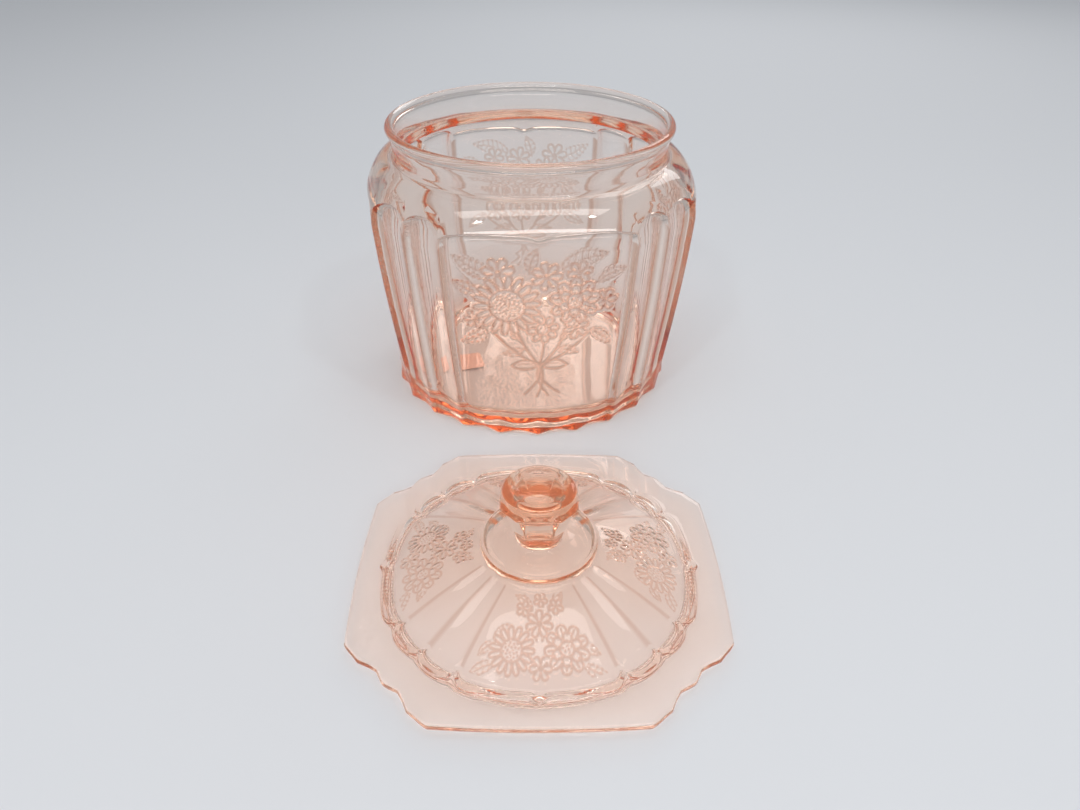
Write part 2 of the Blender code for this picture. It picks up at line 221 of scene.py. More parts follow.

# Glass: tints of the surface, painted shade along the moulded lines and the ribs, the lamp light let
# through, and the colour of its depth
GLASS_INDEX = 1.52
GLASS_TINTS = ((1.0, 0.965, 0.945, 1.0), (0.985, 0.935, 0.905, 1.0))
LINE_PAINTED_SHADE = (0.78, 0.57, 0.48, 1.0)
RIB_PAINTED_SHADE = (0.58, 0.34, 0.25, 1.0)
LAMP_TINT = (0.74, 0.68, 0.655, 1.0)
DEPTH_COLOUR = (0.96, 0.46, 0.08, 1.0)
DEPTH_DENSITY = 19.0

# Paper, floor and room
PAPER_TINTS = ((0.98, 0.68, 0.56, 1.0), (0.93, 0.60, 0.48, 1.0))
FLOOR_COLOUR = (0.74, 0.75, 0.77, 1.0)
FLOOR_REACH = 12.0
FLOOR_DROP = 0.0002
ROOM_COLOUR = (0.80, 0.83, 0.87, 1.0)
ROOM_STRENGTH = 0.52

# Lamps, all aimed at one point: name, place, size and power; and the limit on bounces
LAMP_AIM = (0.0, 0.0, 0.05)
LAMPS = (
    ("above", (0.0, -0.25, 1.4), (1.2, 0.5), 5.0),
    ("front", (0.1, -1.6, 0.8), (1.9, 0.25), 8.0),
    ("behind", (0.5, 1.5, 1.0), (1.2, 0.5), 4.5),
    ("spark", (-0.35, -0.6, 0.9), (0.05, 0.05), 1.0),
    ("glint", (0.45, -0.5, 1.1), (0.05, 0.05), 1.0),
)
BOUNCES = 32

# Camera
CAMERA_PLACE = (-0.02161, -0.37036, 0.28989)
CAMERA_YAW = 3.426
CAMERA_PITCH = 35.234
CAMERA_ROLL = 0.280
CAMERA_LENS = 26.865
SENSOR_WIDTH = 36.0
CLIP_START = 0.01


def ease(value):
    """From 0 to 1 with level ends."""
    value = np.clip(value, 0.0, 1.0)
    return value * value * (3.0 - 2.0 * value)


# ---- Plan and outer forms, with angles as arrays ---------------------------------------


def fold(angle):
    """Angle from the middle of the nearest long side, 0 to 45 degrees."""
    half = SIDE_ANGLE / 2.0
    return np.abs((angle + half) % SIDE_ANGLE - half)


def across(angle):
    """Place across a 15 degree sector: -1 and 1 at its two ribs, 0 in its middle."""
    half = SCALLOP_PITCH / 2.0
    return (fold(angle) % SCALLOP_PITCH - half) / half


def hollow(angle, depth):
    """Depth of a concave flute that spans one sector, with rounded ribs."""
    plain = depth * (1.0 - across(angle) ** 2)
    return np.hypot(plain, RIB_SOFTNESS) - RIB_SOFTNESS


def full_arc(lift):
    """Reach of an arc a little fuller than a circle's, 1 at its foot and 0 at its top."""
    return np.maximum(1.0 - lift ** SHOULDER_FULLNESS, 0.0) ** (1.0 / SHOULDER_FULLNESS)


def bowed_side(angle, reach, end_x, end_y):
    """Polar radius of a side that bows out to its reach from its two ends."""
    bow = reach - end_y
    arc = (end_x * end_x + bow * bow) / (2.0 * bow)
    centre = reach - arc
    turn = np.radians(fold(angle))
    return centre * np.cos(turn) + np.sqrt(arc * arc - (centre * np.sin(turn)) ** 2)


def shoulder_plan(angle):
    """Plan radius of the jar at its widest level."""
    corner = CORNER_REACH / np.cos(np.radians(DIAGONAL - fold(angle)))
    rib = CORNER_REACH / math.cos(math.radians(DIAGONAL - RIB_ANGLE))
    turn = math.radians(RIB_ANGLE)
    side = bowed_side(angle, SIDE_REACH, rib * math.sin(turn), rib * math.cos(turn))
    return side - PLAN_SOFTNESS * np.logaddexp(0.0, (side - corner) / PLAN_SOFTNESS)


def envelope(angle, height):
    """Radius of the smooth form that the ribs lie on, below the shoulder."""
    share = np.clip(height / SHOULDER_FOOT, 0.0, 1.0)
    swell = 0.5 * share + 0.5 * np.sin(0.5 * np.pi * share)
    plan = shoulder_plan(angle)
    body = BASE_RADIUS + (plan - BASE_RADIUS) * swell
    lift = np.clip((height - SHOULDER_FOOT) / (NECK_FOOT - SHOULDER_FOOT), 0.0, 1.0)
    shoulder = NECK_RADIUS + (plan - NECK_RADIUS) * full_arc(lift)
    return np.where(height <= SHOULDER_FOOT, body, shoulder)


def shoulder_edge(angle):
    """Height of the shoulder's lower edge: arches over the flutes, a brace over each panel."""
    arches = FLUTE_RISE * np.sqrt(np.maximum(1.0 - across(angle) ** 2, 0.0))
    share = np.minimum(fold(angle) / RIB_ANGLE, 1.0)
    brace = PANEL_RISE * np.sqrt(1.0 - share ** PANEL_SQUARENESS)
    brace = brace + PANEL_ARCH * np.sin(np.pi * share)
    brace = brace - PANEL_POINT * np.exp(-((share / PANEL_POINT_WIDTH) ** 2))
    return RIB_TOP + np.where(fold(angle) >= RIB_ANGLE, arches, brace)


def cut_depth(angle, height):
    """Depth of the flutes, panels and foot scallops below the rib tops."""
    flute = hollow(angle, FLUTE_DEPTH)
    panel = PANEL_DEPTH * ease((RIB_ANGLE - fold(angle)) / PANEL_BEVEL)
    blended = flute + (panel - flute) * ease(height / SCALLOP_FADE)
    return np.where(fold(angle) >= RIB_ANGLE, flute, blended)


def body_radius(angle, height, scoop=1.0):
    """Outside of the jar below the shoulder's edge."""
    lift = np.maximum(BASE_FILLET - height, 0.0) / BASE_FILLET
    tuck = BASE_FILLET * (1.0 - np.sqrt(1.0 - lift * lift))
    return envelope(angle, height) - cut_depth(angle, height) * scoop - tuck


def lid_outline(angle):
    """Plan radius of the lid: bowed sides, and corners with two scallops and a bump."""
    off_side = fold(angle)
    end = (math.degrees(math.atan2(*LID_SIDE_END)), math.hypot(*LID_SIDE_END))
    knots = [end, LID_BULGE, LID_SCALLOP, LID_BUMP]
    radius = bowed_side(angle, LID_SIDE, *LID_SIDE_END)
    for (low, first), (high, second) in zip(knots, knots[1:]):
        corner = first + (second - first) * ease((off_side - low) / (high - low))
        radius = np.where(off_side > low, corner, radius)
    return radius


def band_radius(angle):
    """Outer line of the raised band: two lobes at each corner, a small point on each side."""
    off_side = fold(angle)
    lobes = BAND_CUSP + BAND_LOBE * np.sqrt(np.maximum(1.0 - across(angle) ** 2, 0.0))
    straight = BAND_SIDE / np.cos(np.radians(off_side))
    share = np.minimum(off_side / RIB_ANGLE, 1.0)
    bowed = BAND_SIDE + (straight - BAND_SIDE) * BAND_BOW
    pinch = np.exp(-((1.0 - share) / BAND_PINCH_WIDTH) ** 1.5)
    point = BAND_POINT * np.exp(-((share / BAND_POINT_WIDTH) ** 2))
    side = bowed + (BAND_CUSP - bowed) * pinch + point
    return np.where(off_side >= RIB_ANGLE, lobes, side)


def cone_foot_radius(angle):
    """Foot of the lid's cone, inside the groove that follows the band; nearly round."""
    even = BAND_SIDE + FOOT_WAVINESS * (band_radius(angle) - BAND_SIDE)
    return even - BAND_WIDTH - GROOVE_WIDTH


def octagon(angle, reach):
    """Eight flats, the four on the diagonals a little further out."""
    off_side = np.radians(fold(angle))
    corner = HEAD_CORNER * reach / np.cos(math.radians(DIAGONAL) - off_side)
    return np.minimum(reach / np.cos(off_side), corner)


# ---- Moulded flowers -------------------------------------------------------------------


def bend(start, through, end, steps=10):
    """Points along a curve that leaves its start towards a middle point and ends at its end."""
    t = np.linspace(0.0, 1.0, steps + 1)[:, None]
    start, through, end = (np.array(p, float) for p in (start, through, end))
    return (1.0 - t) ** 2 * start + 2.0 * t * (1.0 - t) * through + t * t * end


def around(x, y, radius, turn):
    """Points at polar places around a centre."""
    turn = np.radians(turn)
    return np.stack([x + radius * np.cos(turn), y + radius * np.sin(turn)], axis=-1)


class Ornament:
    """Relief of moulded lines, as heights on a grid of places u across and v up."""

    def __init__(self, u, v, line_height, half_width):
        self.u = u
        self.v = v
        self.rise = np.zeros_like(u)
        self.line_height = line_height
        self.half_width = half_width

    def clear(self, x, y, radius):
        """Take away what lies behind a motif."""
        away = np.hypot(self.u - x, self.v - y)
        self.rise *= ease((away - radius) / self.half_width)

    def line(self, points, share=1.0, beads=0.0):
        """A round-backed line through points, a share of the full width and height."""
        wide = self.half_width * (0.5 + 0.5 * share)
        low = points.min(0) - wide
        high = points.max(0) + wide
        near = (self.u > low[0]) & (self.u < high[0]) & (self.v > low[1]) & (self.v < high[1])
        u = self.u[near]
        v = self.v[near]
        best = np.full(u.shape, np.inf)
        along = np.zeros(u.shape)
        run = 0.0
        for (x, y), (x_end, y_end) in zip(points, points[1:]):
            dx = x_end - x
            dy = y_end - y
            length = math.hypot(dx, dy)
            t = np.clip(((u - x) * dx + (v - y) * dy) / length ** 2, 0.0, 1.0)
            away = np.hypot(u - x - t * dx, v - y - t * dy)
            closer = away < best
            best[closer] = away[closer]
            along[closer] = run + t[closer] * length
            run += length
        bump = self.line_height * share * np.clip(1.0 - (best / wide) ** 2, 0.0, 1.0) ** 2
        if beads:
            bump *= 1.0 - BEADED_SHARE + BEADED_SHARE * np.cos(2.0 * np.pi * along / beads)
        self.rise[near] = np.maximum(self.rise[near], bump)

    def dot(self, x, y, radius, share=1.0):
        """A round bead."""
        away = np.hypot(self.u - x, self.v - y) / radius
        bump = self.line_height * share * np.clip(1.0 - away * away, 0.0, 1.0)
        self.rise = np.maximum(self.rise, bump)

    def stipple(self, x, y, radius, pitch):
        """Beads packed in a sunflower spiral."""
        count = max(int(math.pi * (radius / pitch) ** 2), 1)
        for number in range(count):
            out = radius * math.sqrt((number + 0.5) / count)
            (place,) = around(x, y, out, np.array([GOLDEN_ANGLE * number]))
            self.dot(place[0], place[1], 0.4 * pitch, 0.9)

    def petals(self, x, y, inner, outer, count, turn, ribbed=False):
        """A wheel of round-ended petals, which may have a rib along the middle."""
        side = np.linspace(-1.0, 1.0, 11)
        half = 180.0 / count
        for number in range(count):
            middle = turn + 2.0 * half * number
            out = inner + (outer - inner) * (1.0 - np.abs(side) ** 3)
            self.line(around(x, y, out, middle + half * side))
            if ribbed:
                low = inner + 0.1 * (outer - inner)
                high = inner + 0.68 * (outer - inner)
                self.line(around(x, y, np.linspace(low, high, 4), np.full(4, middle)), 0.7)

    def ring(self, x, y, radius, beads=0.0):
        """A closed round line."""
        self.line(around(x, y, radius, np.linspace(0.0, 360.0, 37)), beads=beads)

    def daisy(self, x, y, core, reach, count, turn=0.0):
        """An open flower with a stippled heart."""
        self.clear(x, y, reach)
        self.petals(x, y, core, reach, count, turn)
        self.ring(x, y, core)
        self.stipple(x, y, 0.84 * core, STIPPLE_PITCH * self.half_width)

    def rose(self, x, y, reach, turn=0.0):
        """A double flower: three wheels of petals, each turned on the one outside it."""
        self.clear(x, y, reach)
        self.petals(x, y, 0.62 * reach, reach, 9, turn, ribbed=reach > 12.0 * self.half_width)
        self.petals(x, y, 0.30 * reach, 0.68 * reach, 6, turn + 20.0)
        self.ring(x, y, 0.32 * reach)
        self.stipple(x, y, 0.22 * reach, STIPPLE_PITCH * self.half_width)

    def floret(self, x, y, reach, turn=0.0, count=6):
        """A small flower of one wheel of petals."""
        self.clear(x, y, reach)
        self.petals(x, y, 0.34 * reach, reach, count, turn)
        self.dot(x, y, 0.28 * reach)

    def leaf(self, x, y, length, width, turn, bow=0.15):
        """A pointed leaf from its foot: beaded outline, midrib and slanting veins."""
        turn = math.radians(turn)
        along = np.array([math.cos(turn), math.sin(turn)])
        beside = np.array([-along[1], along[0]])
        foot = np.array([x, y])
        tip = foot + length * along
        lean = bow * length * beside
        for side in (-1.0, 1.0):
            mid = foot + 0.45 * length * along + side * width * beside + lean
            self.line(bend(foot, mid, tip), 0.9, beads=3.2 * self.half_width)
        mid = foot + 0.5 * length * along + lean
        self.line(bend(foot, mid, tip - 0.12 * length * along), 0.7)
        veins = max(int(length / (3.4 * self.half_width)), 2)
        for number in range(1, veins):
            share = number / veins
            spine = foot + share * length * along + 2.0 * share * (1.0 - share) * lean
            reach = 1.5 * width * share ** 0.7 * (1.0 - share)
            for side in (-1.0, 1.0):
                end = spine + reach * (side * beside + 0.45 * along)
                self.line(np.array([spine, end]), 0.55)

    def bud(self, x, y, length, turn):
        """A closed bud on a short stalk."""
        turn = math.radians(turn)
        along = np.array([math.cos(turn), math.sin(turn)])
        beside = np.array([-along[1], along[0]])
        foot = np.array([x, y])
        for side in (-1.0, 0.0, 1.0):
            mid = foot + 0.5 * length * along + 0.55 * side * length * beside
            self.line(bend(foot, mid, foot + length * along), 0.9)
        self.line(np.array([foot - 0.5 * length * along, foot]), 0.8)


def jar_bouquet(u, v):
    """Tied bouquet on a panel of the jar; u across from its middle, v above the table."""
    work = Ornament(u, v, *JAR_LINE)
    knot = (0.5, 51.0)
    stems = (
        (-26.0, 74.0, -14.0),
        (-12.0, 74.0, -6.0),
        (3.0, 70.0, 2.0),
        (17.0, 78.0, 10.0),
        (28.0, 72.0, 18.0),
    )
    for x, y, lean in stems:
        work.line(bend(knot, (lean, 58.0), (x, y)))
    for x, y, length, width, turn in (
        (-19.0, 106.0, 27.0, 9.0, 156.0),
        (-5.0, 108.0, 14.0, 6.5, 74.0),
        (9.0, 108.0, 28.0, 9.0, 20.0),
        (-29.0, 96.0, 17.0, 6.5, 158.0),
        (30.0, 101.0, 17.0, 6.0, 24.0),
        (-27.0, 75.0, 18.0, 7.0, 216.0),
        (27.0, 73.0, 17.0, 6.5, 318.0),
        (-8.0, 62.0, 12.0, 5.0, 196.0),
        (9.0, 61.0, 13.0, 5.0, -12.0),
    ):
        work.leaf(x, y, length, width, turn)
    work.floret(-21.0, 108.0, 8.5, 15.0, 7)
    work.floret(4.0, 106.0, 8.0, 0.0, 7)
    work.floret(21.0, 107.5, 6.5, 10.0)
    work.floret(35.0, 90.0, 6.5, 0.0)
    work.floret(20.0, 74.5, 7.0, 20.0)
    work.floret(-34.5, 80.0, 5.5, 0.0)
    work.daisy(2.0, 74.5, 3.6, 8.5, 8, 10.0)
    work.rose(19.0, 91.0, 13.5, 8.0)
    work.daisy(-17.0, 89.0, 9.4, 17.8, 18, 5.0)
    work.bud(-11.0, 68.0, 6.0, 130.0)
    work.bud(12.0, 67.0, 6.0, 60.0)
    for side in (-1.0, 1.0):
        tip = (0.5 + side * 15.5, 50.5)
        middle = 0.5 + side * 8.0
        work.line(bend(knot, (middle, 58.0), tip))
        work.line(bend(knot, (middle, 45.5), tip))
        work.line(bend((0.5 + side * 3.0, 51.0), (middle, 53.0), (0.5 + side * 12.0, 51.0)), 0.6)
    for x, y, lean in ((-8.0, 30.5, 3.0), (-1.0, 29.0, 4.5), (5.5, 29.5, -4.0), (12.0, 31.0, -3.5)):
        work.line(bend(knot, (lean, 42.0), (x, y)))
    work.dot(*knot, 2.6, 1.2)
    return work.rise


def lid_spray(u, v):
    """Spray on a side of the lid's cone; u across from its middle, v out from the axis."""
    work = Ornament(u, v, *LID_LINE)
    for x, y, length, width, turn in (
        (-3.0, 38.0, 10.0, 3.4, 226.0),
        (4.0, 38.0, 10.0, 3.4, -56.0),
        (-10.0, 45.0, 9.0, 4.0, 168.0),
        (10.0, 45.0, 9.0, 4.0, 12.0),
        (-18.0, 58.0, 12.5, 4.4, 162.0),
        (18.0, 58.0, 12.5, 4.4, 18.0),
        (-18.5, 50.0, 8.0, 3.6, 150.0),
        (18.5, 50.0, 8.0, 3.6, 30.0),
        (0.0, 56.0, 9.0, 4.4, 90.0),
    ):
        work.leaf(x, y, length, width, turn)
    for x, y, reach, turn in ((-6.5, 37.0, 3.2, 0.0), (7.0, 36.0, 3.2, 20.0), (0.5, 33.5, 2.9, 10.0)):
        work.floret(x, y, reach, turn, 5)
    for x in (-4.0, 4.0):
        work.line(bend((0.3 * x, 50.0), (0.6 * x, 42.0), (1.6 * x, 30.5)), beads=2.1)
    work.floret(0.0, 43.5, 5.6, 12.0, 7)
    work.floret(0.5, 60.5, 4.6, 0.0)
    work.daisy(-11.5, 53.5, 4.4, 9.4, 15, 4.0)
    work.rose(11.5, 53.0, 9.4, 12.0)
    return work.rise


# ---- Rings -----------------------------------------------------------------------------


def side_columns(steps, fine_half):
    """Column angles of the whole turn: bunched at the ribs, close and even on each panel."""
    flute_steps, bevel_steps, fine_steps = steps
    bunched = 0.5 - 0.5 * np.cos(np.pi * np.arange(flute_steps) / flute_steps)
    flute = SCALLOP_PITCH * bunched
    bevel = (RIB_ANGLE - fine_half) * np.arange(bevel_steps) / bevel_steps
    fine = 2.0 * fine_half * np.arange(fine_steps) / fine_steps
    quarter = np.concatenate([
        -DIAGONAL + flute,
        -RIB_ANGLE + bevel,
        -fine_half + fine,
        fine_half + bevel,
        RIB_ANGLE + flute,
    ])
    return np.concatenate([quarter + SIDE_ANGLE * number for number in range(4)])


def rib_painted_shade(angles, strength):
    """Painted shade along the ribs beside and between the flutes, a darker tint for the dark seen
    through them; below zero to tell it from ornament.
    """
    beside = np.abs(fold(angles) - RIB_ANGLE + 0.5 * RIB_SHADE_WIDTH)
    between = np.abs(fold(angles) - DIAGONAL)
    return -strength * np.exp(-((np.minimum(beside, between) / RIB_SHADE_WIDTH) ** 4))


def even_columns(count):
    """Column angles at an even pitch."""
    return -DIAGONAL + 360.0 * np.arange(count) / count


def block(angles, rows):
    """Rings that share their columns, from rows of radius and height, with no ornament yet."""
    radii = np.array([np.broadcast_to(row[0], angles.shape) for row in rows])
    heights = np.array([np.broadcast_to(row[1], angles.shape) for row in rows])
    return angles, radii, heights, np.zeros_like(radii)


def every(block_rings, step):
    """The same rings with only every so many columns."""
    angles, *values = block_rings
    return angles[::step], *(value[:, ::step] for value in values)


def corner_rows(centre_radius, centre_height, radius, start, end, steps):
    """Rows of a round corner or bead, its turn measured from outwards towards up."""
    turns = np.radians(np.linspace(start, end, steps + 1))
    return [(centre_radius + radius * np.cos(t), centre_height + radius * np.sin(t)) for t in turns]


def smooth_rows(points, steps):
    """Rows along a smooth line through profile points."""
    points = np.array(points, float)
    padded = np.vstack([2.0 * points[0] - points[1], points, 2.0 * points[-1] - points[-2]])
    rows = []
    for before, start, end, after in zip(padded, padded[1:], padded[2:], padded[3:]):
        for t in np.arange(steps) / steps:
            line = 2.0 * start + (end - before) * t
            curve = (2.0 * before - 5.0 * start + 4.0 * end - after) * t ** 2
            twist = (3.0 * start - before - 3.0 * end + after) * t ** 3
            rows.append(tuple(0.5 * (line + curve + twist)))
    return rows + [tuple(points[-1])]


def with_ornament(rings, fine_half, draw, from_axis, rib_shade):
    """Rings with the ornament raised on each of the four sides, upwards or outwards, and marked, with
    the painted shade of the ribs.
    """
    angles, radii, heights, moulded = rings
    columns = np.flatnonzero(np.abs(angles) <= fine_half)
    turn = np.radians(angles[columns])
    radius = TO_MILLIMETRES * radii[:, columns]
    up = radius * np.cos(turn) if from_axis else TO_MILLIMETRES * heights[:, columns]
    rise = TO_METRES * draw(radius * np.sin(turn), up)
    quarter = len(angles) // 4
    # Painted shade along the ribs; on the panels the mask of the lines takes its place.
    moulded[:] = rib_painted_shade(angles, rib_shade)
    for number in range(4):
        place = (columns + number * quarter) % len(angles)
        # Mask of the lines: it drives their painted shade, a deeper tint, and their frosting.
        moulded[:, place] = rise / rise.max()
        if from_axis:
            heights[:, place] += rise
        else:
            radii[:, place] += rise
    return rings


def jar_blocks():
    """Blocks of rings of the jar from under the base, up the outside and down the inside."""
    fine = side_columns(JAR_STEPS, JAR_FINE_HALF)
    plain = even_columns(PLAIN_COLUMNS)
    recess = [(share * RECESS_RADIUS, RECESS_DEPTH) for share in (0.12, 0.35, 0.6, 0.8, 0.94, 1.0)]
    recess += [(RECESS_RADIUS + RECESS_SLOPE_TOP, 0.7 * RECESS_DEPTH)]
    recess += [(FOOT_INNER - RECESS_SLOPE_FOOT, 0.2 * RECESS_DEPTH)]
    foot_outer = body_radius(fine, 0.0)
    foot = [(FOOT_INNER + (foot_outer - FOOT_INNER) * share, 0.0) for share in (0.0, 0.35, 0.7, 1.0)]
    low_levels = BASE_FILLET * (1.0 - np.cos(np.radians(np.arange(12.0, 91.0, 13.0))))
    levels = np.concatenate([low_levels, FOOT_LEVELS])
    foot += [(body_radius(fine, level), level) for level in levels]
    foot = block(fine, foot)
    _, _, heights, moulded = foot
    # Painted shade along the ribs, fading out towards the table.
    moulded[:] = rib_painted_shade(fine, JAR_RIB_SHADE) * heights / levels[-1]

    edge = shoulder_edge(fine)
    body = []
    for share in np.arange(PANEL_ROWS + 1) / PANEL_ROWS:
        height = PANEL_LOW + share * (edge - SCOOP_LENGTH - PANEL_LOW)
        body.append((body_radius(fine, height), height))
    body = with_ornament(block(fine, body), JAR_FINE_HALF, jar_bouquet, False, JAR_RIB_SHADE)

    upper = []
    for turn in np.radians(np.arange(80.0, -1.0, -10.0)):
        height = edge - SCOOP_LENGTH * (1.0 - math.cos(turn))
        upper.append((body_radius(fine, height, math.sin(turn)), height))
    rise = NECK_FOOT - SHOULDER_FOOT
    start = np.arcsin((edge - SHOULDER_FOOT) / rise)
    plan = shoulder_plan(fine)
    shoulder = []
    for share in SHOULDER_SHARES:
        lift = np.sin(start + (0.5 * np.pi - start) * share)
        radius = NECK_RADIUS + (plan - NECK_RADIUS) * full_arc(lift)
        radius = np.maximum(radius, NECK_RADIUS + NECK_FILLET)
        shoulder.append((radius, SHOULDER_FOOT + rise * lift))
    upper += shoulder[:4]

    bead_centre = RIM_RADIUS - RIM_BEAD
    bead_height = JAR_HEIGHT - RIM_BEAD
    neck = shoulder[4:]
    fillet_centre = (NECK_RADIUS + NECK_FILLET, NECK_FOOT + NECK_FILLET)
    neck += corner_rows(*fillet_centre, NECK_FILLET, 255.0, 180.0, 5)
    low, high = NECK_LEVELS
    neck += smooth_rows([(NECK_RADIUS, low), (NECK_RADIUS + 0.5 * NECK_FLARE, high)], 2)
    neck += [(NECK_RADIUS + NECK_FLARE, NECK_TOP)]
    neck += corner_rows(bead_centre, bead_height, RIM_BEAD, -62.0, 90.0, 11)
    inner = corner_rows(bead_centre, bead_height, RIM_BEAD, 103.0, 180.0, 6)
    throat = NECK_RADIUS - NECK_WALL
    throat_top = (bead_centre - RIM_BEAD - THROAT_STEP, THROAT_TOP)
    inner += smooth_rows([throat_top, THROAT_BEND, (throat, THROAT_FOOT)], 3)
    reach = shoulder_plan(plain) - INSIDE_OFFSET - throat
    inner_rise = NECK_FOOT - NECK_WALL - SHOULDER_FOOT
    for turn in np.radians(np.arange(90.0, -1.0, -7.5)):
        lift = math.sin(turn)
        inner.append((throat + reach * full_arc(lift), SHOULDER_FOOT + inner_rise * lift))
    for height in INSIDE_LEVELS:
        inner.append((envelope(plain, height) - INSIDE_OFFSET, height))
    centre_height = FLOOR + FLOOR_FILLET
    centre = envelope(plain, centre_height) - INSIDE_OFFSET - FLOOR_FILLET
    inner += corner_rows(centre, centre_height, FLOOR_FILLET, 0.0, -90.0, 12)
    inner += [(share * RECESS_RADIUS, FLOOR) for share in (0.9, 0.7, 0.45, 0.2)]
    return [
        block(plain, recess),
        every(foot, 2),
        body,
        block(fine, upper),
        every(block(fine, neck), 2),
        block(plain, inner),
    ]


def cone_rows(angles, shares):
    """Top of the lid's cone at shares of the way from its foot to the collar."""
    foot = cone_foot_radius(angles)
    flute = np.where(fold(angles) >= RIB_ANGLE, hollow(angles, CONE_FLUTE), 0.0)
    rows = []
    for share in shares:
        radius = foot + (COLLAR_FOOT_RADIUS - foot) * share
        fade = math.sin(0.5 * math.pi * min(share / FLUTE_RUN_OUT, 1.0))
        height = CONE_FOOT + (CONE_TOP - CONE_FOOT) * share + CONE_SWELL * math.sin(math.pi * share)
        rows.append((radius, height - flute * fade))
    return rows


def lid_blocks():
    """Blocks of rings of the lid from under its apex, over its edge and up to the knob."""
    fine = side_columns(LID_STEPS, LID_FINE_HALF)
    plain = even_columns(PLAIN_COLUMNS)
    flange_inner = FLANGE_RADIUS - FLANGE_WALL
    rim = flange_inner - UNDER_FILLET
    rim_height = CONE_FOOT - LID_WALL
    under = []
    for share in UNDER_SHARES:
        swell = CONE_SWELL * math.sin(math.pi * share)
        under.append((rim * (1.0 - share), rim_height + (APEX_UNDER - rim_height) * share + swell))
    under += [(flange_inner - inset, rim_height - drop) for inset, drop in UNDER_STEPS]
    beaded = even_columns(4 * FLANGE_BEADS)
    notch = BEAD_DEPTH * (0.5 - 0.5 * np.cos(np.radians(beaded) * FLANGE_BEADS))
    corner = FLANGE_CORNER
    flange = corner_rows(flange_inner + corner, corner + notch, corner, 180.0, 270.0, 3)
    outer = FLANGE_RADIUS - corner - 0.5 * notch
    flange += corner_rows(outer, corner + notch, corner, -90.0, 0.0, 4)
    flange += [(FLANGE_RADIUS - 0.3 * notch, BEAD_TOPS[0]), (FLANGE_RADIUS, BEAD_TOPS[1])]
    flange += corner_rows(FLANGE_RADIUS + FLANGE_ROOT, PLATE_UNDER - corner, corner, 150.0, 90.0, 2)

    outline = lid_outline(fine)
    edge = 0.5 * (PLATE_TOP - PLATE_UNDER)
    middle = 0.5 * (PLATE_TOP + PLATE_UNDER)
    plate = []
    for share in (0.25, 0.6, 0.9):
        plate.append((FLANGE_RADIUS + (outline - edge - FLANGE_RADIUS) * share, PLATE_UNDER))
    plate += corner_rows(outline - edge, middle, edge, -90.0, 90.0, 14)
    band = band_radius(fine)
    for share in (0.15, 0.5, 0.85):
        plate.append((outline - edge + (band + BAND_APRON - outline + edge) * share, PLATE_TOP))
    crest = PLATE_TOP + BAND_RISE
    ridge = [
        (-0.0005, PLATE_TOP), (-0.0001, PLATE_TOP + 0.0002), (0.0003, crest - 0.0005),
        (0.0007, crest - 0.0001), (0.0011, crest), (0.0020, crest), (0.0029, crest),
        (0.0033, crest - 0.0001), (0.0037, crest - 0.0005), (0.0042, PLATE_TOP + 0.0001),
        (0.0047, PLATE_TOP - 0.0001),
    ]
    plate += [(band - inset, height) for inset, height in ridge]
    foot = cone_foot_radius(fine)
    plate += [(foot + 0.0008, PLATE_TOP), (foot + 0.0003, CONE_FOOT - 0.0004)]
    plate += cone_rows(fine, CONE_LOW_SHARES)
    cone = block(fine, cone_rows(fine, CONE_SHARES))
    cone = with_ornament(cone, LID_FINE_HALF, lid_spray, True, LID_RIB_SHADE)

    turned = cone_rows(fine, CONE_HIGH_SHARES)
    turned += [(COLLAR_FOOT_RADIUS - 0.0001, CONE_TOP + 0.0004)]
    turned += [(COLLAR_FOOT_RADIUS - 0.0008, COLLAR_TOP - 0.0016)]
    turned += corner_rows(COLLAR_RADIUS, COLLAR_TOP - COLLAR_BEAD, COLLAR_BEAD, 15.0, 165.0, 8)
    turned += smooth_rows([(COLLAR_RADIUS - 0.0018, COLLAR_TOP - 0.0012), DISH_EDGE, DISH], 3)
    turned += smooth_rows([NECK_SPREAD, NECK_BASE, NECK_BEND], 3)
    knob = []
    facets = (KNOB_NECK, KNOB_WAIST, KNOB_TIER)
    for (low, low_height), (high, high_height) in zip(facets, facets[1:]):
        for share in np.arange(FACET_ROWS) / FACET_ROWS:
            reach = low + (high - low) * share
            knob.append((octagon(fine, reach), low_height + (high_height - low_height) * share))
    for share in (0.0, 0.5, 0.9, 1.0):
        reach = KNOB_TIER[0] + (HEAD_LOW[0] - KNOB_TIER[0]) * share
        knob.append((octagon(fine, reach), KNOB_TIER[1] + (HEAD_LOW[1] - KNOB_TIER[1]) * share))
    for share in (0.12, 0.35, 0.6, 0.85):
        facet = octagon(fine, HEAD_LOW[0])
        radius = facet + (HEAD_HIGH[0] - facet) * float(ease(share))
        knob.append((radius, HEAD_LOW[1] + (HEAD_HIGH[1] - HEAD_LOW[1]) * share))
    top = [HEAD_HIGH, HEAD_ROUND, (HEAD_CREST, LID_HEIGHT), CREST_INSIDE, DIMPLE_RIM]
    knob += smooth_rows(top + [DIMPLE_SLOPE, (DIMPLE_MIDDLE, DIMPLE_FLOOR)], 4)
    return [
        block(plain, under),
        block(beaded, flange),
        block(fine, plate),
        cone,
        every(block(fine, turned), 2),
        every(block(fine, knob), 2),
    ]


# ---- Meshes ----------------------------------------------------------------------------


def bridge(first, first_angles, second, second_angles):
    """Triangles between two rings whose columns differ, taken in turn by angle."""
    faces = []
    lower = 0
    upper = 0
    lower_ends = np.append(first_angles[1:], first_angles[0] + 360.0)
    upper_ends = np.append(second_angles[1:], second_angles[0] + 360.0)
    while lower < len(first) or upper < len(second):
        start = first[lower % len(first)]
        across_gap = second[upper % len(second)]
        spent = upper >= len(second)
        if spent or (lower < len(first) and lower_ends[lower] <= upper_ends[upper]):
            faces.append((start, first[(lower + 1) % len(first)], across_gap))
            lower += 1
        else:
            faces.append((start, second[(upper + 1) % len(second)], across_gap))
            upper += 1
    return faces


